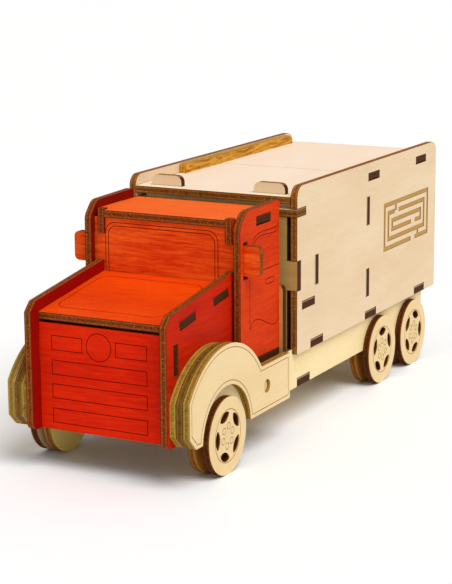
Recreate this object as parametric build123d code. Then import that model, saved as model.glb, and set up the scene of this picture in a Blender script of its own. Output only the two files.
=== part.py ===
from build123d import *
from math import atan, cos, degrees, sqrt
import os

# A lorry put together from laser-cut sheets of plywood and round dowels.
# Everything is drawn in the cargo box's own frame: x = 0 is the middle of the lorry, +X its left
# side, y = 0 the front of the cargo box, +Y the rear, z = 0 the box's lower edge. save() then
# moves each piece to the part's frame, whose origin is under the middle of the lorry.

PLY = 3.0
ENGRAVE_WIDTH = 0.3
ENGRAVE_DEPTH = 0.25
SLOT_PLAY = 0.25         # gap on each side of a tab, along its slot
SLOT_HEADROOM = 0.7      # how much wider than the sheet a slot is

# wheels and axles
WHEEL_R = 15.4
AXLE_Z = -17.35
AXLE_YS = {"front": -63.96, "middle": 88.7, "rear": 126.2}
DOWEL_R = 2.0
BEARING_R = DOWEL_R + 0.08
WHEEL_GAP = 0.2          # between a disc and the rail that it turns beside
WHEEL_TURNS = {"front": 252.0, "middle": 90.0, "rear": 71.0}
SPOKE_HOLES = 5
SPOKE_R = 8.3
SPOKE_SLOT_LENGTH = 8.0
SPOKE_SLOT_WIDTH = 3.8
SPOKE_TIP_R = 0.5
HUB_LINE_R = 10.5
LUGS = 6
LUG_START = 8.0          # where the first lug ring stands, from the first hole
LUG_RING_R = 3.95
LUG_R = 1.3

# the cargo box
BOX_OUT = 39.25
BOX_IN = BOX_OUT - PLY
BOX_LEN = 154.6
BOX_H = 69.9
ROOF_TOP = 65.45
ROOF_UNDER = ROOF_TOP - PLY
CORNER_R = 5.0
SEAM_Y = 73.2            # the lid ends here, resting on the middle wall's front edge
INNER_WALL_Y = 17.9
MID_WALL_Y = 72.0
SHELF_Z = 18.0
LABYRINTH_Y = 118.0
LABYRINTH_Z = 38.0
LABYRINTH_STROKE = 2.0
FRONT_WALL_HALF = 34.6
FRONT_WALL_TOP = 57.2
BAR_Z = 57.3
BAR_FRONT_Y = -0.4
BAR_REAR_Y = 8.2
TAB_WALL_Y = 5.0
TAB_IN = 17.0
TAB_OUT = 31.3
TAB_LEN = 12.2
REAR_WALL_Y = 150.0
STRIP_FRONT_Y = 38.3
STRIP_REAR_Y = 148.0
STRIP_TOP = 69.6
FLOOR_TAB_YS = (13.3, 70.8, 129.2)
ROOF_TAB_YS = (73.2, 129.2)
SHELF_TAB_Y = 4.9
INNER_WALL_TAB_Z = 26.4
MIDDLE_WALL_TAB_ZS = (10.4, 42.6)
FRONT_WALL_TAB_LOW = 26.8
FRONT_WALL_TAB_HIGH = 39.0
LID_PLAY = 0.25
LID_SLOT_PLAY = 0.3
BAR_PLAY = 0.3           # between the lock bar and the wall behind it
TAB_TIP_R = 2.8

# the bonnet
HOOD_OUT = 31.05
HOOD_IN = HOOD_OUT - PLY
HOOD_FRONT_Y = -94.8
HOOD_BOTTOM = -16.2
GRILLE_Y = -88.9
GRILLE_TOP = 25.9
HOOD_TOP_FRONT_Y = -89.4
HOOD_TOP_FRONT_Z = 30.0
HOOD_SLOPE = 0.142
HOOD_SIDE_RISE = 4.6     # side sheet above the bonnet's top face
HOOD_ARCH_R = WHEEL_R + 1.6
GRILLE_TAB_LOW = 11.0
GRILLE_TAB_HIGH = 22.6
GRILLE_LINE_X = 20.95
GRILLE_BAR_ZS = (-13.3, -3.6, 5.8)
GRILLE_BAR_H = 5.6
GRILLE_LAMP_X = 7.4
GRILLE_LAMP_Z = 15.5
GRILLE_RING_Z = 18.4
GRILLE_RING_R = 5.45
PATTERN_X = -1.75        # the lines engraved across the front sit a little off centre
WINDSCREEN_Y = -40.0

# the cab
CAB_OUT = 35.2
CAB_IN = CAB_OUT - PLY
CAB_FRONT_Y = -43.0
CAB_REAR_Y = -8.5
CAB_FLOOR_TOP = 5.1
CAB_TOP = 65.8
CAB_ROOF_TOP = 61.9
CAB_ROOF_FRONT_Y = -40.8
CAB_ROOF_REAR_Y = -6.0
EAR_OUT = 42.1
EAR_BOTTOM = 40.2
EAR_TOP = 52.2
EAR_R = 2.2
EAR_SLOT_PLAY = 0.5
CROWN_CLEAR_Z = 10.0      # the windscreen is wider above this, clear of the rails' crowns
WINDOW_HALF = 25.6
WINDOW_TOP = 57.0
WINDOW_BORDER = 1.4
BRACKET_IN = 27.4
BRACKET_BOTTOM = 52.4
BRACKET_REAR_Y = -24.0
CAB_ROOF_TAB_FRONT_Y = -28.9
CAB_ROOF_TAB_REAR_Y = -16.5
CAB_BACK_HALF = 36.8
CAB_BACK_TOP = 31.0
DOOR_FRONT_Y = -34.9
DOOR_SILL_Z = 39.6
FENDER_OVERLAP = 0.6     # how far the cab side reaches inside the outer fender's circle

# rails, fenders and skirts: three sheets side by side, the middle one is the rail
INNER_LAYER_X = HOOD_OUT
RAIL_X = HOOD_OUT + PLY
OUTER_LAYER_X = HOOD_OUT + 2 * PLY
SIDE_OUT = HOOD_OUT + 3 * PLY
RAIL_BOTTOM = -15.0
RAIL_STEP_TOP = CAB_FLOOR_TOP - PLY
RAIL_STEP_Y = -0.2       # the rail's top steps down here, under the cargo box
RAIL_REAR_Y = 143.8
FENDER_R = 36.0
RAIL_CROWN_R = 35.4
INNER_CROWN_R = 35.2
RAIL_FRONT_INSET = 0.2
INNER_FRONT_INSET = 0.4
ARCH_R = 20.0
FENDER_FRONT_Y = -94.0
SKIRT_TOP = 3.0
SKIRT_BOTTOM = -16.0
SKIRT_REAR_Y = -8.4
FENDER_CORNER_CUT = 4.8
CROWN_STEP_Y = -34.3     # where the round crown drops to the straight skirt
CROWN_TOP = 30.0
HANGER_R = 5.5           # rounded lug that carries an axle under the rail
PLATE_FRONT_Y = 0.4
PLATE_REAR_Y = 68.0
PLATE_TAB_Y = 4.8
PIN_Y = -29.5
PIN_Z = -5.9
PIN_R = 2.5
PIN_RECESS = 1.2
PIN_PLAY = 0.25

TO_PART_FRAME = Pos(0, -(BOX_LEN + HOOD_FRONT_Y) / 2, WHEEL_R - AXLE_Z)
SIDES = {"left": 1, "right": -1}
FRONT_Y = AXLE_YS["front"]

os.makedirs("parts", exist_ok=True)


# ---------------------------------------------------------------- sheet helpers

def save(name, solid):
    """Write one piece, moved to the part's frame."""
    export_step(TO_PART_FRAME * solid, f"parts/{name}.step")


def rect(u0, u1, v0, v1):
    """A flat rectangle in a sheet's own plane."""
    return Pos((u0 + u1) / 2, (v0 + v1) / 2) * Rectangle(u1 - u0, v1 - v0)


def outline(corners):
    """A flat closed shape from (u, v, corner radius) triples."""
    points = [(u, v) for u, v, r in corners]
    radii = [r for u, v, r in corners]
    return make_face(FilletPolyline(*points, radius=radii, close=True))


def groove(path):
    """The flat shape of a line burnt along a path."""
    return trace(path, line_width=ENGRAVE_WIDTH)


def loop(corners):
    """A closed engraved line from (u, v, corner radius) triples."""
    points = [(u, v) for u, v, r in corners]
    radii = [r for u, v, r in corners]
    return groove(FilletPolyline(*points, radius=radii, close=True))


def ring(u, v, radius):
    """An engraved circle."""
    half = ENGRAVE_WIDTH / 2
    return Pos(u, v) * (Circle(radius + half) - Circle(radius - half))


def box_loop(u0, u1, v0, v1, r=0.0):
    """An engraved rectangle."""
    return loop([(u0, v0, r), (u1, v0, r), (u1, v1, r), (u0, v1, r)])


def side_sheet(shape, x, thickness=PLY):
    """A sheet lying along Y and Z, from x outwards. Its shape is drawn in (y, z)."""
    return extrude(Plane.YZ.offset(x) * shape, amount=thickness)


def cross_sheet(shape, y, thickness=PLY):
    """An upright sheet across the lorry, from y rearwards. Its shape is drawn in (x, z)."""
    plane = Plane(origin=(0, y + thickness, 0), x_dir=(1, 0, 0), z_dir=(0, -1, 0))
    return extrude(plane * shape, amount=thickness)


def level_sheet(shape, z, thickness=PLY):
    """A level sheet, from z upwards. Its shape is drawn in (x, y)."""
    return extrude(Plane.XY.offset(z) * shape, amount=thickness)


def both_sides(name, solid):
    """Save a left piece, and its mirror image as the right one."""
    save(f"{name}_left", solid)
    save(f"{name}_right", mirror(solid, about=Plane.YZ))


def slot_long(y, z, length=TAB_LEN):
    """A slot for a level sheet's tab. The tab fills its lower part."""
    return rect(y - SLOT_PLAY, y + length + SLOT_PLAY, z, z + PLY + SLOT_HEADROOM)


def slot_tall(y, z, length=TAB_LEN):
    """A slot for an upright sheet's tab. The tab fills its rear part."""
    return rect(y - SLOT_HEADROOM, y + PLY, z - SLOT_PLAY, z + length + SLOT_PLAY)


# ---------------------------------------------------------------- wheels and axles

def lens(length, width):
    """A pointed oval: where two equal circles overlap."""
    radius = (length ** 2 + width ** 2) / (4 * width)
    shift = radius - width / 2
    return (Pos(0, shift) * Circle(radius)) & (Pos(0, -shift) * Circle(radius))


def outer_disc(turn, mirrored):
    """The pierced and engraved outer wheel disc, its face outwards."""
    step = 360 / SPOKE_HOLES
    pointed = lens(SPOKE_SLOT_LENGTH, SPOKE_SLOT_WIDTH)
    pointed_hole = Rot(0, 0, 90) * fillet(pointed.vertices(), SPOKE_TIP_R)
    shape = Circle(WHEEL_R) - Circle(DOWEL_R)
    for i in range(SPOKE_HOLES):
        place = Rot(0, 0, turn + step * i) * Pos(SPOKE_R, 0)
        shape -= place * pointed_hole
    lines = ring(0, 0, HUB_LINE_R)
    for i in range(LUGS):
        angle = turn + LUG_START + 360 / LUGS * i
        lines += Rot(0, 0, angle) * ring(LUG_RING_R, 0, LUG_R)
    disc = extrude(shape, amount=PLY)
    disc -= extrude(Pos(0, 0, PLY) * lines, amount=-ENGRAVE_DEPTH)
    disc = Plane.YZ.location * disc
    return mirror(disc, about=Plane.YZ) if mirrored else disc


def inner_disc():
    """The plain inner wheel disc."""
    return Plane.YZ.location * extrude(Circle(WHEEL_R) - Circle(DOWEL_R), amount=PLY)


def wheel_pieces():
    outer_x = OUTER_LAYER_X + WHEEL_GAP
    inner_x = RAIL_X - WHEEL_GAP - PLY
    for axle, y in AXLE_YS.items():
        rod_half = outer_x + PLY
        rod = Pos(0, y, AXLE_Z) * (Rot(0, 90, 0) * Cylinder(DOWEL_R, 2 * rod_half))
        save(f"axle_{axle}", rod)
        for side, sign in SIDES.items():
            outer = outer_disc(WHEEL_TURNS[axle], sign < 0)
            save(f"wheel_outer_{axle}_{side}", Pos(sign * outer_x, y, AXLE_Z) * outer)
            x = inner_x if sign > 0 else -inner_x - PLY
            save(f"wheel_inner_{axle}_{side}", Pos(x, y, AXLE_Z) * inner_disc())


# ---------------------------------------------------------------- rails, fenders, chassis

def crown_shape(radius, front_y, top_z):
    """A fender's round crown with the skirt behind it, without the wheel arch."""
    disc = Pos(FRONT_Y, AXLE_Z) * Circle(radius)
    disc &= rect(front_y, FRONT_Y + radius, SKIRT_BOTTOM, CROWN_TOP)
    skirt = rect(FRONT_Y, SKIRT_REAR_Y, SKIRT_BOTTOM, top_z)
    above_skirt = rect(CROWN_STEP_Y, 10, top_z, CROWN_TOP)
    cut = FENDER_CORNER_CUT
    corner = [(front_y, SKIRT_BOTTOM, 0), (front_y + cut, SKIRT_BOTTOM, 0)]
    corner.append((front_y, SKIRT_BOTTOM + cut, 0))
    return (disc - above_skirt) + skirt - outline(corner)


def fender_shape(radius, front_y, top_z):
    """A fender and its skirt, with the wheel arch."""
    shape = crown_shape(radius, front_y, top_z)
    return shape - Pos(FRONT_Y, AXLE_Z) * Circle(ARCH_R)


def fender_line():
    """The line engraved just inside the outer fender's edge."""
    inset = 1.6
    centre_z = AXLE_Z
    big = FENDER_R - inset
    small = ARCH_R + inset
    low = SKIRT_BOTTOM + inset
    front = FENDER_FRONT_Y + inset
    top = SKIRT_TOP - inset
    rear = SKIRT_REAR_Y - inset

    def on_circle(radius, y=None, z=None, side=1):
        """A point of a circle about the axle, at a given y (above it) or z."""
        if z is None:
            return (y, centre_z + sqrt(radius ** 2 - (y - FRONT_Y) ** 2))
        return (FRONT_Y + side * sqrt(radius ** 2 - (z - centre_z) ** 2), z)

    front_top = on_circle(big, y=front)
    crown = (FRONT_Y, centre_z + big)
    step = on_circle(big, z=top)
    arch_rear = on_circle(small, z=low)
    arch_top = (FRONT_Y, centre_z + small)
    arch_front = on_circle(small, z=low, side=-1)
    tip = (front + 4.2, low)
    lines = [
        Line((front, low + 4.2), front_top),
        ThreePointArc(front_top, on_circle(big, y=FRONT_Y - 16), crown),
        ThreePointArc(crown, on_circle(big, y=FRONT_Y + 16), step),
        Line(step, (rear, top)),
        Line((rear, top), (rear, low)),
        Line((rear, low), arch_rear),
        ThreePointArc(arch_rear, arch_top, arch_front),
        Line(arch_front, tip),
        Line(tip, (front, low + 4.2)),
    ]
    shape = groove(lines[0])
    for line in lines[1:]:
        shape += groove(line)
    return shape


def side_layers():
    pin_hole = Pos(PIN_Y, PIN_Z) * Circle(PIN_R)
    inner = fender_shape(INNER_CROWN_R, FENDER_FRONT_Y + INNER_FRONT_INSET, RAIL_STEP_TOP)
    both_sides("fender_inner", side_sheet(inner - pin_hole, INNER_LAYER_X))

    outer = fender_shape(FENDER_R, FENDER_FRONT_Y, SKIRT_TOP)
    sheet = side_sheet(outer - Pos(PIN_Y, PIN_Z) * Circle(PIN_R + PIN_PLAY), OUTER_LAYER_X)
    sheet -= side_sheet(fender_line(), SIDE_OUT - ENGRAVE_DEPTH, ENGRAVE_DEPTH)
    both_sides("fender_outer", sheet)

    front_y = FENDER_FRONT_Y + RAIL_FRONT_INSET
    rail = crown_shape(RAIL_CROWN_R, front_y, RAIL_STEP_TOP)
    rail += rect(SKIRT_REAR_Y - 1, RAIL_STEP_Y, RAIL_BOTTOM, RAIL_STEP_TOP)
    rail += rect(RAIL_STEP_Y - 1, RAIL_REAR_Y, RAIL_BOTTOM, 0)
    rail -= pin_hole
    for y in AXLE_YS.values():
        rail += Pos(y, AXLE_Z) * Circle(HANGER_R)
    for y in AXLE_YS.values():
        rail -= Pos(y, AXLE_Z) * Circle(BEARING_R)
    tab_rear = PLATE_TAB_Y + TAB_LEN
    slot_top = RAIL_BOTTOM + PLY + SLOT_HEADROOM
    rail -= rect(PLATE_TAB_Y - SLOT_PLAY, tab_rear + SLOT_PLAY, RAIL_BOTTOM - 1, slot_top)
    both_sides("chassis_rail", side_sheet(rail, RAIL_X))


def chassis_crosspieces():
    plate = rect(-RAIL_X, RAIL_X, PLATE_FRONT_Y, PLATE_REAR_Y)
    plate += rect(-OUTER_LAYER_X, OUTER_LAYER_X, PLATE_TAB_Y, PLATE_TAB_Y + TAB_LEN)
    save("chassis_plate", level_sheet(plate, RAIL_BOTTOM))
    pin_half = SIDE_OUT - PIN_RECESS
    pin = Pos(0, PIN_Y, PIN_Z) * (Rot(0, 90, 0) * Cylinder(PIN_R, 2 * pin_half))
    save("skirt_dowel", pin)


# ---------------------------------------------------------------- bonnet

def hood_top_z(y):
    """Height of the bonnet's top face at y."""
    return HOOD_TOP_FRONT_Z + HOOD_SLOPE * (y - HOOD_TOP_FRONT_Y)


HOOD_ANGLE = degrees(atan(HOOD_SLOPE))
HOOD_TABS = (-78.7, -51.6)
HOOD_STRETCH = 1 / cos(atan(HOOD_SLOPE))


def on_slope(y):
    """Turns a shape drawn flat about (0, 0) to lie on the bonnet's top face at y."""
    return Pos(y, hood_top_z(y)) * Rot(0, 0, HOOD_ANGLE)


def hood_sides():
    rear_y = WINDSCREEN_Y
    shape = outline([
        (HOOD_FRONT_Y, HOOD_BOTTOM, 3.2),
        (rear_y, HOOD_BOTTOM, 0),
        (rear_y, hood_top_z(rear_y) + HOOD_SIDE_RISE, 0),
        (HOOD_FRONT_Y + 3.8, hood_top_z(HOOD_FRONT_Y + 3.8) + HOOD_SIDE_RISE, 1.6),
        (HOOD_FRONT_Y, 30.6, 1.2),
    ])
    for y in HOOD_TABS:
        slot = rect(-TAB_LEN / 2 - SLOT_PLAY, TAB_LEN / 2 + SLOT_PLAY, -PLY - 0.4, 0.3)
        shape -= on_slope(y) * slot
    shape -= rect(GRILLE_Y - SLOT_HEADROOM, GRILLE_Y + PLY, GRILLE_TAB_LOW - 0.3, GRILLE_TAB_HIGH + 0.3)
    shape -= Pos(FRONT_Y, AXLE_Z) * Circle(HOOD_ARCH_R)
    shape -= rect(-41.0, rear_y + 1, HOOD_BOTTOM - 1, CAB_FLOOR_TOP)
    both_sides("hood_side", side_sheet(shape, HOOD_IN))


def hood_top():
    """The bonnet's top sheet, drawn flat with its upper front edge at (x, 0) and then tilted."""
    length = (WINDSCREEN_Y - HOOD_TOP_FRONT_Y) * HOOD_STRETCH - PLY * HOOD_SLOPE
    shape = rect(-HOOD_IN, HOOD_IN, 0, length)
    for y in HOOD_TABS:
        v = (y - HOOD_TOP_FRONT_Y) * HOOD_STRETCH
        shape += rect(-HOOD_OUT, HOOD_OUT, v - TAB_LEN / 2, v + TAB_LEN / 2)
    sheet = level_sheet(shape, -PLY)
    line = box_loop(-23.5, 23.5, 7.0, length - 5.5, 5.0)
    sheet -= level_sheet(Pos(PATTERN_X, 0) * line, -ENGRAVE_DEPTH, ENGRAVE_DEPTH)
    tilted = Rot(HOOD_ANGLE, 0, 0) * sheet
    save("hood_top", Pos(0, HOOD_TOP_FRONT_Y, HOOD_TOP_FRONT_Z) * tilted)


def grille():
    shape = rect(-HOOD_IN, HOOD_IN, HOOD_BOTTOM, GRILLE_TOP)
    shape += rect(-HOOD_OUT + 0.5, HOOD_OUT - 0.5, GRILLE_TAB_LOW, GRILLE_TAB_HIGH)
    sheet = cross_sheet(shape, GRILLE_Y)
    lines = ring(0, GRILLE_RING_Z, GRILLE_RING_R)
    lamp_top = GRILLE_LAMP_Z + GRILLE_BAR_H
    lines += box_loop(-GRILLE_LINE_X, -GRILLE_LAMP_X, GRILLE_LAMP_Z, lamp_top)
    lines += box_loop(GRILLE_LAMP_X, GRILLE_LINE_X, GRILLE_LAMP_Z, lamp_top)
    for low in GRILLE_BAR_ZS:
        lines += box_loop(-GRILLE_LINE_X, GRILLE_LINE_X, low, low + GRILLE_BAR_H)
    sheet -= cross_sheet(Pos(PATTERN_X, 0) * lines, GRILLE_Y, ENGRAVE_DEPTH)
    save("grille_panel", sheet)


# ---------------------------------------------------------------- cab

def windscreen():
    top = CAB_ROOF_TOP - PLY
    shape = rect(-HOOD_OUT, HOOD_OUT, CAB_FLOOR_TOP, top)
    shape += rect(-CAB_IN, CAB_IN, CROWN_CLEAR_Z, top)
    ear = outline([
        (-EAR_OUT, EAR_BOTTOM, EAR_R), (EAR_OUT, EAR_BOTTOM, EAR_R),
        (EAR_OUT, EAR_TOP, EAR_R), (-EAR_OUT, EAR_TOP, EAR_R),
    ])
    shape += ear
    for sign in SIDES.values():
        x0 = sign * (BRACKET_IN + PLY / 2) - PLY / 2
        shape -= rect(x0 - 0.1, x0 + PLY + 0.1, BRACKET_BOTTOM - 0.1, top + 1)
    sheet = cross_sheet(shape, WINDSCREEN_Y)
    low = hood_top_z(WINDSCREEN_Y) - PLY
    lines = box_loop(-WINDOW_HALF, WINDOW_HALF, low, WINDOW_TOP, 4.5)
    inner = WINDOW_HALF - WINDOW_BORDER
    lines += box_loop(-inner, inner, low - 1, WINDOW_TOP - WINDOW_BORDER, 3.6)
    sheet -= cross_sheet(Pos(PATTERN_X, 0) * lines, WINDSCREEN_Y, ENGRAVE_DEPTH)
    save("windscreen_panel", sheet)


def door_lines():
    """The window, door edge, handle and flowing line engraved on a door."""
    front = DOOR_FRONT_Y
    rear = CAB_REAR_Y - 0.2
    sill = DOOR_SILL_Z
    window = Spline((-32.6, sill + 7), (-31.6, sill + 13.6), (-25.5, sill + 15.6), (rear, 56.6))
    inner = Spline((-31.4, sill + 7), (-30.3, sill + 12.6), (-25.0, sill + 14.2), (rear, 55.2))
    shape = groove(window) + groove(inner)
    shape += groove(Line((-25.5, sill), (rear, sill)))
    shape += groove(Line((front, 37.6), (front, 17.6)))
    shape += groove(Spline((front, 17.6), (-30.5, 20.6), (-22.0, 18.4), (rear, 17.2)))
    shape += box_loop(-21.0, -13.4, 33.2, 35.4, 1.0)
    return shape


def cab_sides():
    shape = outline([
        (CAB_FRONT_Y, CAB_FLOOR_TOP, 0),
        (CAB_REAR_Y, CAB_FLOOR_TOP, 0),
        (CAB_REAR_Y, CAB_TOP, 1.2),
        (CAB_FRONT_Y + 5.2, CAB_TOP - 0.6, 5.5),
        (CAB_FRONT_Y, CAB_TOP - 6.4, 4.0),
    ])
    tab_front = CAB_ROOF_TAB_FRONT_Y - SLOT_PLAY
    tab_rear = CAB_ROOF_TAB_REAR_Y + SLOT_PLAY
    tab_low = CAB_ROOF_TOP - PLY - SLOT_HEADROOM
    shape -= rect(tab_front, tab_rear, tab_low, CAB_ROOF_TOP + 0.3)
    slot_front = WINDSCREEN_Y - EAR_SLOT_PLAY
    slot_rear = WINDSCREEN_Y + PLY + 0.1
    shape -= rect(slot_front, slot_rear, EAR_BOTTOM - 1.6, EAR_TOP + 1.2)
    shape -= Pos(FRONT_Y, AXLE_Z) * Circle(FENDER_R - FENDER_OVERLAP)
    sheet = side_sheet(shape, CAB_IN)
    sheet -= side_sheet(door_lines() & shape, CAB_OUT - ENGRAVE_DEPTH, ENGRAVE_DEPTH)
    both_sides("cab_side", sheet)


def cab_inside():
    roof = rect(-CAB_IN, CAB_IN, CAB_ROOF_FRONT_Y, CAB_ROOF_REAR_Y)
    roof += rect(-CAB_OUT, CAB_OUT, CAB_ROOF_TAB_FRONT_Y, CAB_ROOF_TAB_REAR_Y)
    notch_rear = CAB_ROOF_FRONT_Y + PLY
    for sign in SIDES.values():
        inner = sign * BRACKET_IN
        outer = sign * CAB_IN
        roof -= rect(min(inner, outer), max(inner, outer), CAB_ROOF_FRONT_Y - 1, notch_rear)
    save("cab_roof", level_sheet(roof, CAB_ROOF_TOP - PLY))

    under = CAB_ROOF_TOP - PLY
    bracket = outline([
        (CAB_ROOF_FRONT_Y, BRACKET_BOTTOM, 0), (BRACKET_REAR_Y, BRACKET_BOTTOM, 4.0),
        (BRACKET_REAR_Y, under, 0), (notch_rear, under, 0),
        (notch_rear, CAB_ROOF_TOP + 0.6, 0), (CAB_ROOF_FRONT_Y, CAB_ROOF_TOP + 0.6, 0),
    ])
    both_sides("roof_bracket", side_sheet(bracket, BRACKET_IN))

    floor = rect(-CAB_OUT, CAB_OUT, -33.8, CAB_REAR_Y)
    floor += rect(-HOOD_IN, HOOD_IN, -46.0, -33.0)
    save("cab_floor", level_sheet(floor, CAB_FLOOR_TOP - PLY))

    back = outline([
        (-CAB_BACK_HALF, RAIL_STEP_TOP, 0), (CAB_BACK_HALF, RAIL_STEP_TOP, 0),
        (CAB_BACK_HALF, CAB_BACK_TOP, 3.0), (-CAB_BACK_HALF, CAB_BACK_TOP, 3.0),
    ])
    save("cab_back_panel", cross_sheet(back, CAB_REAR_Y))


# ---------------------------------------------------------------- cargo box

def labyrinth():
    """A made-up labyrinth of nested open rectangles, engraved on the box side in (y, z)."""
    stroke = LABYRINTH_STROKE
    shape = None
    for i in range(3):
        half_y = 27.0 - 4.4 * i
        half_z = 11.0 - 4.0 * i
        frame = rect(-half_y, half_y, -half_z, half_z)
        frame -= rect(-half_y + stroke, half_y - stroke, -half_z + stroke, half_z - stroke)
        gap_at = 8.0 if i % 2 == 0 else -12.0
        gap_side = -1 if i % 2 == 0 else 1
        gap_z = gap_side * (half_z - stroke / 2)
        frame -= rect(gap_at - 2.4, gap_at + 2.4, gap_z - stroke, gap_z + stroke)
        shape = frame if shape is None else shape + frame
    shape += rect(-14.0, -12.0, 6.0, 10.0)
    shape += rect(13.0, 15.0, -10.0, -6.0)
    return Pos(LABYRINTH_Y, LABYRINTH_Z) * shape


def cargo_sides():
    shape = outline([
        (0, 0, 0), (BOX_LEN, 0, 0), (BOX_LEN, BOX_H, CORNER_R), (0, BOX_H, CORNER_R),
    ])
    for y in FLOOR_TAB_YS:
        shape -= rect(y - SLOT_PLAY, y + TAB_LEN + SLOT_PLAY, -1, PLY + SLOT_HEADROOM)
    for y in ROOF_TAB_YS:
        shape -= slot_long(y, ROOF_UNDER - SLOT_HEADROOM)
    shape -= slot_long(SHELF_TAB_Y, SHELF_Z)
    shape -= slot_tall(INNER_WALL_Y, INNER_WALL_TAB_Z)
    for z in MIDDLE_WALL_TAB_ZS:
        shape -= slot_tall(MID_WALL_Y, z)
    shape -= rect(-1, BAR_REAR_Y + 0.3, BAR_Z - 0.1, BAR_Z + PLY + 0.6)
    shape -= rect(-1, PLY + 0.6, FRONT_WALL_TAB_LOW - SLOT_PLAY, FRONT_WALL_TAB_HIGH + SLOT_PLAY)
    sheet = side_sheet(shape, BOX_IN)
    sheet -= side_sheet(labyrinth(), BOX_OUT - ENGRAVE_DEPTH, ENGRAVE_DEPTH)
    both_sides("cargo_side", sheet)


def cargo_walls():
    front = rect(-FRONT_WALL_HALF, FRONT_WALL_HALF, 0, FRONT_WALL_TOP)
    front += rect(-BOX_OUT, BOX_OUT, FRONT_WALL_TAB_LOW, FRONT_WALL_TAB_HIGH)
    save("cargo_front_wall", cross_sheet(front, 0))

    tabs = rect(-33.9, 33.9, SHELF_Z + PLY, ROOF_UNDER - 0.1)
    for sign in SIDES.values():
        low, high = sorted((sign * TAB_IN, sign * TAB_OUT))
        tabs += outline([(low, 50, 0), (high, 50, 0), (high, BOX_H, TAB_TIP_R), (low, BOX_H, TAB_TIP_R)])
    save("locating_tab_wall", cross_sheet(tabs, TAB_WALL_Y))

    inner = rect(-BOX_IN, BOX_IN, PLY, ROOF_UNDER)
    inner += rect(-BOX_OUT, BOX_OUT, INNER_WALL_TAB_Z, INNER_WALL_TAB_Z + TAB_LEN)
    save("chamber_front_wall", cross_sheet(inner, INNER_WALL_Y))

    middle = rect(-BOX_IN, BOX_IN, PLY, ROOF_UNDER)
    for z in MIDDLE_WALL_TAB_ZS:
        middle += rect(-BOX_OUT, BOX_OUT, z, z + TAB_LEN)
    save("middle_wall", cross_sheet(middle, MID_WALL_Y))

    rear = rect(-BOX_IN, BOX_IN, PLY, ROOF_UNDER)
    sheet = cross_sheet(rear, REAR_WALL_Y)
    lines = box_loop(-33.0, -1.0, 7.0, 58.5) + box_loop(1.0, 33.0, 7.0, 58.5)
    for sign in SIDES.values():
        for z in (16.0, 49.0):
            low, high = sorted((sign * 33.0, sign * 26.0))
            lines += box_loop(low, high, z - 1.6, z + 1.6)
    sheet -= cross_sheet(lines, REAR_WALL_Y + PLY - ENGRAVE_DEPTH, ENGRAVE_DEPTH)
    save("cargo_rear_wall", sheet)


def cargo_levels():
    floor = rect(-BOX_IN, BOX_IN, PLY, BOX_LEN)
    for y in FLOOR_TAB_YS:
        floor += rect(-BOX_OUT, BOX_OUT, y, y + TAB_LEN)
    save("cargo_floor", level_sheet(floor, 0))

    shelf = rect(-BOX_IN, BOX_IN, PLY, INNER_WALL_Y)
    shelf += rect(-BOX_OUT, BOX_OUT, SHELF_TAB_Y, SHELF_TAB_Y + TAB_LEN)
    save("lock_shelf", level_sheet(shelf, SHELF_Z))

    roof = rect(-BOX_IN, BOX_IN, SEAM_Y, BOX_LEN)
    for y in ROOF_TAB_YS:
        roof += rect(-BOX_OUT, BOX_OUT, y, y + TAB_LEN)
    save("cargo_roof_rear", level_sheet(roof, ROOF_UNDER))

    strip = outline([
        (SEAM_Y, ROOF_TOP, 0), (STRIP_REAR_Y, ROOF_TOP, 0),
        (STRIP_REAR_Y, STRIP_TOP, 3.9), (SEAM_Y, STRIP_TOP, 0),
    ])
    save("roof_edge_strip", side_sheet(strip, -BOX_IN))


def lid():
    half = BOX_IN - LID_PLAY
    shape = rect(-half, half, 0, SEAM_Y - LID_PLAY)
    play = LID_SLOT_PLAY
    for sign in SIDES.values():
        low, high = sorted((sign * TAB_IN, sign * TAB_OUT))
        shape -= rect(low - play, high + play, TAB_WALL_Y - play, TAB_WALL_Y + PLY + play)
    save("lid_panel", level_sheet(shape, ROOF_UNDER))
    strip = outline([
        (STRIP_FRONT_Y, ROOF_TOP, 0), (SEAM_Y - LID_PLAY, ROOF_TOP, 0),
        (SEAM_Y - LID_PLAY, STRIP_TOP, 0), (STRIP_FRONT_Y, STRIP_TOP, 1.2),
    ])
    save("lid_edge_strip", side_sheet(strip, -half))


def lock_bar():
    """A bar in the open notches of the box sides, narrow between them."""
    bar = rect(-BOX_OUT, BOX_OUT, BAR_FRONT_Y, BAR_REAR_Y)
    bar -= rect(-FRONT_WALL_HALF, FRONT_WALL_HALF, TAB_WALL_Y - BAR_PLAY, BAR_REAR_Y + 1)
    save("front_lock_bar", level_sheet(bar, BAR_Z))


wheel_pieces()
side_layers()
chassis_crosspieces()
hood_sides()
hood_top()
grille()
windscreen()
cab_sides()
cab_inside()
cargo_sides()
cargo_walls()
cargo_levels()
lid()
lock_bar()
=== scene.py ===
import math

import bpy
from mathutils import Matrix, Vector


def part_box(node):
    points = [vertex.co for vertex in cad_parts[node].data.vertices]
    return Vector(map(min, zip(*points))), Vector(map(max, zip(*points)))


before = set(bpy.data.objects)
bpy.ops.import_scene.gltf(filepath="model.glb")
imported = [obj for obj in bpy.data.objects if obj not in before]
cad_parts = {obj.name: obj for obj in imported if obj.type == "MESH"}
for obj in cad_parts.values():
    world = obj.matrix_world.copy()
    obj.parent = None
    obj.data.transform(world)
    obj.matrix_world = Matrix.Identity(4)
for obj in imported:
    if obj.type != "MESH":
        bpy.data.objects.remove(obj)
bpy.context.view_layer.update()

# Looks for a plywood model lorry: every sheet keeps its CAD shape and gets a plywood material made
# for the way that the sheet lies, with its own grain, burnt cut edges and engraved lines.

M_PER_MM = 0.001
MM_PER_M = 1000
PLY_MM = 3.0
HOOD_SLOPE = 0.142      # the bonnet sheet's rise over its run, as the CAD has it
X = Vector((1, 0, 0))
Y = Vector((0, 1, 0))
Z = Vector((0, 0, 1))

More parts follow.
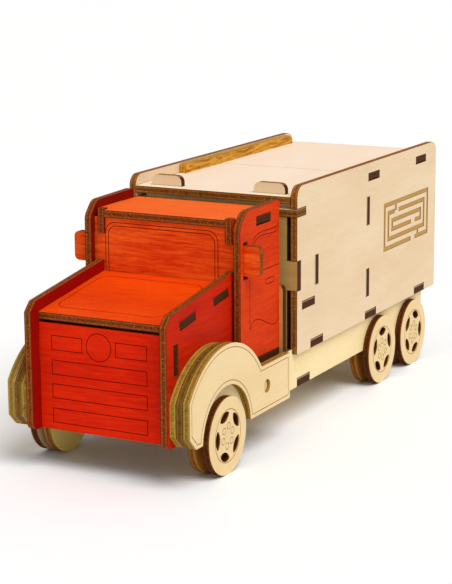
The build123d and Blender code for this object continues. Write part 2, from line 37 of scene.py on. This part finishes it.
BUMP_STRENGTH = 0.6
BUMP_MM = 0.06

# The colour Mix node has sockets that share their names, so they are picked by number.
MIX_FACTOR = 0
MIX_FIRST = 6
MIX_SECOND = 7
MIX_RESULT = 2


def srgb(red, green, blue):
    """An 8-bit sRGB colour as linear RGBA."""
    channels = [c / 255 for c in (red, green, blue)]
    return [c / 12.92 if c <= 0.04045 else ((c + 0.055) / 1.055) ** 2.4 for c in channels] + [1.0]


# ---------------------------------------------------------------- shader helper

class Graph:
    """Adds shader nodes to one material. Each call returns the new node's output."""

    def __init__(self, name):
        self.material = bpy.data.materials.new(name)
        self.material.use_nodes = True
        self.tree = self.material.node_tree
        self.tree.nodes.clear()

    def add(self, kind, **settings):
        node = self.tree.nodes.new("ShaderNode" + kind)
        for key, value in settings.items():
            setattr(node, key, value)
        return node

    def feed(self, socket, value):
        if isinstance(value, bpy.types.NodeSocket):
            self.tree.links.new(value, socket)
        else:
            socket.default_value = value

    def math(self, operation, *values):
        node = self.add("Math", operation=operation)
        for socket, value in zip(node.inputs, values):
            self.feed(socket, value)
        return node.outputs[0]

    def along(self, vector, direction, scale=1.0):
        """How far the vector reaches in a direction."""
        node = self.add("VectorMath", operation="DOT_PRODUCT")
        self.feed(node.inputs[0], vector)
        node.inputs[1].default_value = direction * scale
        return node.outputs["Value"]

    def point(self, x, y, z):
        node = self.add("CombineXYZ")
        for socket, value in zip(node.inputs, (x, y, z)):
            self.feed(socket, value)
        return node.outputs[0]

    def noise(self, vector, scale, detail=2.0, roughness=0.5, distortion=0.0):
        node = self.add("TexNoise")
        self.feed(node.inputs["Vector"], vector)
        node.inputs["Scale"].default_value = scale
        node.inputs["Detail"].default_value = detail
        node.inputs["Roughness"].default_value = roughness
        node.inputs["Distortion"].default_value = distortion
        return node.outputs["Fac"]

    def step(self, value, low, high):
        """0 below low, 1 above high, smooth between them. Falls instead if low is above high."""
        node = self.add("MapRange", interpolation_type="SMOOTHSTEP")
        self.feed(node.inputs["Value"], value)
        rising = low < high
        node.inputs["From Min"].default_value = low if rising else high
        node.inputs["From Max"].default_value = high if rising else low
        node.inputs["To Min"].default_value = 0.0 if rising else 1.0
        node.inputs["To Max"].default_value = 1.0 if rising else 0.0
        return node.outputs["Result"]

    def mix(self, factor, first, second):
        node = self.add("Mix", data_type="RGBA")
        self.feed(node.inputs[MIX_FACTOR], factor)
        self.feed(node.inputs[MIX_FIRST], first)
        self.feed(node.inputs[MIX_SECOND], second)
        return node.outputs[MIX_RESULT]

    def finish(self, colour, roughness, height, specular):
        shader = self.add("BsdfPrincipled")
        bump = self.add("Bump")
        bump.inputs["Strength"].default_value = BUMP_STRENGTH
        bump.inputs["Distance"].default_value = BUMP_MM * M_PER_MM
        self.feed(bump.inputs["Height"], height)
        self.feed(shader.inputs["Base Color"], colour)
        self.feed(shader.inputs["Roughness"], roughness)
        self.feed(shader.inputs["Normal"], bump.outputs[0])
        shader.inputs["Specular IOR Level"].default_value = specular
        out = self.add("OutputMaterial")
        self.tree.links.new(shader.outputs[0], out.inputs["Surface"])
        return self.material


# ---------------------------------------------------------------- plywood

# Edge colours: edge is the cut plies, core the middle ply, burn the scorched rims and gold the flecks.
# flecks and tab_ends say how strongly the flecks and the dark ends of tabs show, from 0 to 1. The dark
# tab ends are partly burnt end grain and partly painted shade of the slots that they sit in.
BROWN_EDGE = dict(edge=srgb(162, 100, 38), core=srgb(116, 64, 22), burn=srgb(46, 20, 7),
                  gold=srgb(216, 154, 62), flecks=0.55, tab_ends=0.92)
RED_EDGE = dict(edge=srgb(148, 72, 26), core=srgb(104, 44, 15), burn=srgb(42, 14, 5),
                gold=srgb(206, 124, 48), flecks=0.5, tab_ends=0.92)
SCREEN_EDGE = dict(RED_EDGE, tab_ends=0.0)
TYRE_EDGE = dict(edge=srgb(92, 48, 18), core=srgb(66, 30, 10), burn=srgb(34, 14, 5),
                 gold=srgb(150, 92, 36), flecks=0.3, tab_ends=0.0)
DARK_EDGE = dict(edge=srgb(156, 98, 36), core=srgb(112, 62, 20), burn=srgb(48, 20, 7),
                 gold=srgb(206, 144, 58), flecks=0.45, tab_ends=0.4)
OLIVE_EDGE = dict(edge=srgb(176, 140, 54), core=srgb(140, 104, 34), burn=srgb(76, 46, 12),
                  gold=srgb(214, 180, 84), flecks=0.55, tab_ends=0.0)
DUSK_EDGE = dict(edge=srgb(128, 92, 32), core=srgb(98, 64, 20), burn=srgb(50, 28, 8),
                 gold=srgb(180, 138, 58), flecks=0.4, tab_ends=0.0)
PALE_EDGE = dict(edge=srgb(168, 132, 56), core=srgb(130, 94, 34), burn=srgb(70, 42, 12),
                 gold=srgb(210, 174, 88), flecks=0.5, tab_ends=0.0)
GOLD_EDGE = dict(edge=srgb(206, 146, 40), core=srgb(176, 112, 24), burn=srgb(112, 62, 10),
                 gold=srgb(236, 184, 76), flecks=0.8, tab_ends=0.0)

# Face colours: light and dark are the ends of the grain's range, line is the engraved lines, and
# inside is the face turned away from out. figure is how strong the grain is, pores how dark its
# pores are, and specular the shine. soft_lines colours the walls of engraved lines as well.
CREAM = dict(light=srgb(240, 219, 182), dark=srgb(229, 203, 160), line=srgb(150, 104, 58),
             figure=0.35, pores=0.10, specular=0.04)
PINK = dict(CREAM, light=srgb(255, 232, 208), dark=srgb(250, 222, 194))
SIDE = dict(CREAM, light=srgb(236, 212, 178), dark=srgb(224, 195, 156), line=srgb(188, 146, 82))
YELLOW = dict(CREAM, light=srgb(238, 213, 166), dark=srgb(228, 198, 144), line=srgb(190, 134, 52),
              soft_lines=True)
RAIL = dict(CREAM, light=srgb(250, 228, 180), dark=srgb(240, 212, 156))
# Painted shade: the wheels' inner discs are brown on their outer faces, in the shade of the gap
# between the discs. Their inside faces get a brighter olive, painted light against the dim light under
# the lorry.
SHADED = dict(YELLOW, light=srgb(164, 106, 44), dark=srgb(128, 78, 28), inside=srgb(250, 226, 132))
# Painted shade: a darker tan for the cargo front wall and the cab back panel, which stand in the shade
# between the cab and the box.
GAP_SHADE = dict(CREAM, light=srgb(206, 164, 96), dark=srgb(182, 138, 74))
# The red sheets share one stain. These copies paint how light falls on each sheet: painted light on
# the bonnet top, cab roof and windscreen, and painted shade on the hood sides, with the grille and
# door between them. inside is painted shade on the inner faces within the bonnet and cab.
RED = dict(light=srgb(208, 42, 8), dark=srgb(176, 22, 3), line=srgb(128, 14, 4),
           inside=srgb(140, 6, 5), figure=0.75, pores=0.25, specular=0.03)
HOOD = dict(RED, light=srgb(246, 80, 10), dark=srgb(222, 54, 4))
CAB_ROOF = dict(RED, light=srgb(255, 116, 40), dark=srgb(244, 92, 24))
GRILLE = dict(RED, light=srgb(236, 46, 9), dark=srgb(204, 26, 4), line=srgb(122, 12, 3))
SCREEN = dict(RED, light=srgb(255, 106, 32), dark=srgb(216, 50, 8), figure=1.0, pores=0.3)
DOOR = dict(RED, light=srgb(222, 66, 10), dark=srgb(196, 42, 3), inside=srgb(112, 4, 4))
GOLDEN = dict(light=srgb(226, 168, 54), dark=srgb(158, 96, 20), line=srgb(96, 54, 12),
              figure=1.8, pores=0.5, specular=0.12)


# Pairs for Graph.step: where a change starts, and where it is complete.
ON_FACE = (0.55, 0.8)               # the normal's reach along out, either way
INNER_FACE = (-0.4, -0.7)           # the normal's reach along out
TAB_END = (0.5, 0.8)                # the normal's reach along X, either way
LINE_STARTS_MM = (0.08, 0.16)       # depths below the outer face
LINE_ENDS_MM = (2.4, 2.0)
LINE_WALL_STARTS_MM = (0.04, 0.06)
LINE_WALL_ENDS_MM = (0.30, 0.26)
RIM = (0.37, 0.47)                  # distances from the sheet's middle, in thicknesses
CORE = (0.20, 0.13)
GLUE = (0.045, 0.015)               # distances from a glue line, in thicknesses
TONE = (-0.1, 1.1)                  # levels of noise
PORES = (0.56, 0.70)
CHARRING = (0.54, 0.78)
FLECKS = (0.50, 0.70)

GLUE_LINE_AT = 1 / 6                # from the sheet's middle, in thicknesses
SEED_STEP_MM = 37.7                 # shifts the grain, so that sheets differ
# The tab ends' colour: burnt end grain, darkened further with painted shade of the slots.
TAB_END_COLOUR = srgb(62, 30, 12)


def sheet_material(name, face, edge, grain, out, outer_mm, seed):
    """Plywood for one sheet.

    grain and out are unit vectors: the way the face grain runs, and the outer face's normal.
    outer_mm is how far that face is along out. Depth into the sheet is measured from it.
    """
    g = Graph(name)
    coords = g.add("TexCoord")
    place = coords.outputs["Object"]
    normal = coords.outputs["Normal"]
    across = out.cross(grain)
    u = g.along(place, grain, MM_PER_M)
    v = g.along(place, across, MM_PER_M)
    w = g.along(place, out, MM_PER_M)
    depth = g.math("SUBTRACT", outer_mm, w)
    facing = g.math("ABSOLUTE", g.along(normal, out))
    on_face = g.step(facing, *ON_FACE)

    # face: slow clouds, long streaks along the grain and short pores
    v = g.math("ADD", v, seed * SEED_STEP_MM)
    slow = g.noise(g.point(g.math("MULTIPLY", u, 0.35), v, w), 0.06, detail=2.0)
    waver = g.noise(g.point(u, v, w), 0.16, detail=1.0)
    v_bent = g.math("MULTIPLY_ADD", waver, 1.6, v)
    streak_at = g.point(g.math("MULTIPLY", u, 0.09), v_bent, w)
    streak = g.noise(streak_at, 0.85, detail=4.0, roughness=0.62, distortion=0.3)
    fine = g.noise(g.point(g.math("MULTIPLY", u, 0.22), v_bent, w), 3.2, detail=2.0, roughness=0.6)
    tone = g.math("MULTIPLY_ADD", g.math("SUBTRACT", streak, 0.5), 2.2 * face["figure"], 0.5)
    tone = g.math("MULTIPLY_ADD", g.math("SUBTRACT", slow, 0.5), 1.1, tone)
    colour = g.mix(g.step(tone, *TONE), face["dark"], face["light"])
    pores = g.math("MULTIPLY", g.step(fine, *PORES), face["pores"])
    colour = g.mix(pores, colour, face["line"])
    # The face turned away from out takes the inside colour. On the red sheets this is painted shade on
    # the inner faces within the bonnet and cab. On the wheels' inner discs it is a brighter olive,
    # painted light where the light under the lorry is dim.
    if "inside" in face:
        inner_face = g.step(g.along(normal, out), *INNER_FACE)
        colour = g.mix(g.math("MULTIPLY", inner_face, 0.9), colour, face["inside"])

    # engraved lines are burnt into the outer face
    engraved = g.math("MULTIPLY", g.step(depth, *LINE_STARTS_MM), g.step(depth, *LINE_ENDS_MM))
    colour = g.mix(engraved, colour, face["line"])

    # cut edges: burnt rims, glue lines, a darker middle ply and lighter flecks
    middle = g.math("ABSOLUTE", g.math("SUBTRACT", g.math("DIVIDE", depth, PLY_MM), 0.5))
    rim = g.step(middle, *RIM)
    core = g.step(middle, *CORE)
    glue = g.step(g.math("ABSOLUTE", g.math("SUBTRACT", middle, GLUE_LINE_AT)), *GLUE)
    charring = g.noise(g.point(u, v, g.math("MULTIPLY", w, 0.3)), 0.62, detail=3.0, roughness=0.7)
    speckle = g.noise(g.point(u, v, w), 1.3, detail=2.0, roughness=0.55)
    flecks = g.math("MULTIPLY", g.step(speckle, *FLECKS), edge["flecks"])
    cut = g.mix(g.math("MULTIPLY", core, 0.85), edge["edge"], edge["core"])
    cut = g.mix(flecks, cut, edge["gold"])
    cut = g.mix(g.math("MULTIPLY", g.step(charring, *CHARRING), 0.6), cut, edge["burn"])
    cut = g.mix(g.math("MULTIPLY", glue, 0.4), cut, edge["burn"])
    cut = g.mix(g.math("MULTIPLY", rim, 0.85), cut, edge["burn"])
    # Cut edges that face along X, where the tab ends sit in slots, darken towards TAB_END_COLOUR. This
    # is burnt end grain plus painted shade of the slot.
    if abs(out.x) < 0.5:
        tab_end = g.step(g.math("ABSOLUTE", g.along(normal, X)), *TAB_END)
        cut = g.mix(g.math("MULTIPLY", tab_end, edge["tab_ends"]), cut, TAB_END_COLOUR)
    if "soft_lines" in face:
        # the walls of its engraved lines take the line's colour too
        wall_starts = g.step(depth, *LINE_WALL_STARTS_MM)
        wall = g.math("MULTIPLY", wall_starts, g.step(depth, *LINE_WALL_ENDS_MM))
        cut = g.mix(wall, cut, face["line"])
    colour = g.mix(on_face, cut, colour)

    rough = g.math("MULTIPLY_ADD", streak, 0.25, 0.42)
    height = g.math("MULTIPLY_ADD", charring, 0.5, g.math("MULTIPLY", streak, 0.8))
    height = g.math("SUBTRACT", height, g.math("MULTIPLY", pores, 0.6))
    return g.finish(colour, rough, height, face["specular"])


DOWEL_DARK = srgb(196, 152, 92)
DOWEL_LIGHT = srgb(232, 200, 142)
SAWN_LIGHT = srgb(238, 210, 154)
SAWN_DARK = srgb(212, 176, 116)
SAWN_FROM_MM = 0.05                 # depths below the dowel's end
SAWN_FULL_MM = 0.02


def dowel_material(name, half_length_mm):
    """Turned dowel along X, with a darker sawn end."""
    g = Graph(name)
    place = g.add("TexCoord").outputs["Object"]
    x = g.along(place, X, MM_PER_M)
    y = g.along(place, Y, MM_PER_M)
    z = g.along(place, Z, MM_PER_M)
    streak = g.noise(g.point(g.math("MULTIPLY", x, 0.06), y, z), 1.5, detail=4.0, roughness=0.6)
    colour = g.mix(g.step(streak, 0.35, 0.65), DOWEL_DARK, DOWEL_LIGHT)
    sawn = g.step(g.math("ABSOLUTE", x), half_length_mm - SAWN_FROM_MM, half_length_mm - SAWN_FULL_MM)
    pith = g.noise(g.point(x, y, z), 2.5, detail=3.0, roughness=0.6)
    end = g.mix(g.step(pith, 0.4, 0.65), SAWN_LIGHT, SAWN_DARK)
    colour = g.mix(sawn, colour, end)
    return g.finish(colour, g.math("MULTIPLY_ADD", streak, 0.2, 0.5), streak, 0.25)


# ---------------------------------------------------------------- which sheet gets what

def thin_axis(node):
    """The axis that a flat sheet is thin along, with its lowest and highest coordinate in mm."""
    low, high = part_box(node)
    sizes = [high[i] - low[i] for i in range(3)]
    i = sizes.index(min(sizes))
    return i, low[i] * MM_PER_M, high[i] * MM_PER_M


def hood_top_plane():
    """The tilted bonnet sheet's outer normal, and how far along it the top face is, in mm."""
    angle = math.atan(HOOD_SLOPE)
    out = Vector((0, -math.sin(angle), math.cos(angle)))
    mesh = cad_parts["hood_top"].data
    return out, max(out.dot(v.co) for v in mesh.vertices) * MM_PER_M


LOOKS = {
    "hood_top": (HOOD, RED_EDGE, X),
    "cab_roof": (CAB_ROOF, RED_EDGE, X),
    "windscreen": (SCREEN, SCREEN_EDGE, X),
    "grille": (GRILLE, RED_EDGE, X),
    "hood_side": (RED, RED_EDGE, Y),
    "cab_side": (DOOR, RED_EDGE, Y),
    "roof_bracket": (DOOR, RED_EDGE, Y),
    "lid_edge_strip": (GOLDEN, GOLD_EDGE, Y),
    "roof_edge_strip": (GOLDEN, GOLD_EDGE, Y),
    "fender_inner": (RAIL, OLIVE_EDGE, Y),
    "fender_outer": (YELLOW, PALE_EDGE, Y),
    "chassis_rail": (RAIL, DUSK_EDGE, Y),
    "wheel_inner": (SHADED, DARK_EDGE, Z),
    "wheel_outer": (YELLOW, TYRE_EDGE, Z),
    "cargo_side": (SIDE, BROWN_EDGE, Y),
    "lid_panel": (PINK, BROWN_EDGE, Y),
    "cargo_roof": (PINK, BROWN_EDGE, Y),
    "cargo_front_wall": (GAP_SHADE, BROWN_EDGE, X),
    "cab_back_panel": (GAP_SHADE, BROWN_EDGE, X),
    "front_lock_bar": (RAIL, DARK_EDGE, X),
}


def finish_for(node):
    """The face colours, the edge colours and the grain direction of a sheet."""
    for start, looks in LOOKS.items():
        if node.startswith(start):
            return looks
    return CREAM, BROWN_EDGE, Y


def paint(node, thing, seed):
    """Give one CAD node its material."""
    if node.startswith("axle") or node == "skirt_dowel":
        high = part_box(node)[1]
        material = dowel_material(node, high[0] * MM_PER_M)
    else:
        face, edge, grain = finish_for(node)
        i, low, high = thin_axis(node)
        axis = (X, Y, Z)[i]
        if axis == X:
            outwards = high > -low
        else:
            outwards = axis == Z or node == "cargo_rear_wall"
        out = axis if outwards else -axis
        outer = high if outwards else -low
        if node == "hood_top":
            out, outer = hood_top_plane()
        if abs(out.dot(grain)) > 0.5:
            grain = Y
        material = sheet_material(node, face, edge, grain, out, outer, seed)
    thing.data.materials.clear()
    thing.data.materials.append(material)


for number, node_name in enumerate(sorted(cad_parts)):
    paint(node_name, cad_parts[node_name], number)


# ---------------------------------------------------------------- floor, light and camera

FLOOR_HALF_M = 14.0
WORLD_STRENGTH = 0.45
KEY_TOWARDS = (0.50, -0.28, 0.82)
KEY_STRENGTH = 2.2
KEY_SPREAD_DEG = 40


def floor():
    mesh = bpy.data.meshes.new("floor")
    half = FLOOR_HALF_M
    corners = [(-half, -half, 0), (half, -half, 0), (half, half, 0), (-half, half, 0)]
    mesh.from_pydata(corners, [], [(0, 1, 2, 3)])
    thing = bpy.data.objects.new("floor", mesh)
    bpy.context.collection.objects.link(thing)
    g = Graph("floor")
    place = g.add("TexCoord").outputs["Object"]
    tone = g.noise(place, 3.0, 2.0)
    colour = g.mix(tone, srgb(254, 254, 253), srgb(255, 255, 255))
    mesh.materials.append(g.finish(colour, g.math("MULTIPLY_ADD", tone, 0.05, 0.85), tone, 0.1))


def sun(name, towards, strength, spread):
    """A broad distant light that comes from a direction."""
    light = bpy.data.lights.new(name, "SUN")
    light.energy = strength
    light.angle = math.radians(spread)
    thing = bpy.data.objects.new(name, light)
    thing.rotation_mode = "QUATERNION"
    thing.rotation_quaternion = Vector(towards).to_track_quat("Z", "Y")
    bpy.context.collection.objects.link(thing)


def studio():
    world = bpy.data.worlds.new("studio")
    world.use_nodes = True
    background = world.node_tree.nodes["Background"]
    background.inputs["Color"].default_value = (1.0, 1.0, 1.0, 1.0)
    background.inputs["Strength"].default_value = WORLD_STRENGTH
    bpy.context.scene.world = world
    sun("key", KEY_TOWARDS, KEY_STRENGTH, KEY_SPREAD_DEG)
    bpy.context.scene.view_settings.view_transform = "Standard"


CAMERA_AT = Vector((0.3553, -0.7000, 0.2207))
CAMERA_AZIMUTH = math.radians(27.5)
CAMERA_DOWN = math.radians(12.29)
CAMERA_ROLL = math.radians(0.35)
LENS_MM = 114.3
SENSOR_MM = 36.0
CLIP_FROM_M = 0.05
CLIP_TO_M = 60.0


def camera():
    a = CAMERA_AZIMUTH
    e = CAMERA_DOWN
    forward = Vector((-math.sin(a) * math.cos(e), math.cos(a) * math.cos(e), -math.sin(e)))
    level = Vector((math.cos(a), math.sin(a), 0))
    down = forward.cross(level)
    right = level * math.cos(CAMERA_ROLL) + down * math.sin(CAMERA_ROLL)
    up = right.cross(forward)
    data = bpy.data.cameras.new("camera")
    data.lens = LENS_MM
    data.sensor_width = SENSOR_MM
    data.clip_start = CLIP_FROM_M
    data.clip_end = CLIP_TO_M
    thing = bpy.data.objects.new("camera", data)
    turn = Matrix((right, up, -forward)).transposed()
    thing.matrix_world = Matrix.Translation(CAMERA_AT) @ turn.to_4x4()
    bpy.context.collection.objects.link(thing)
    bpy.context.scene.camera = thing


floor()
studio()
camera()
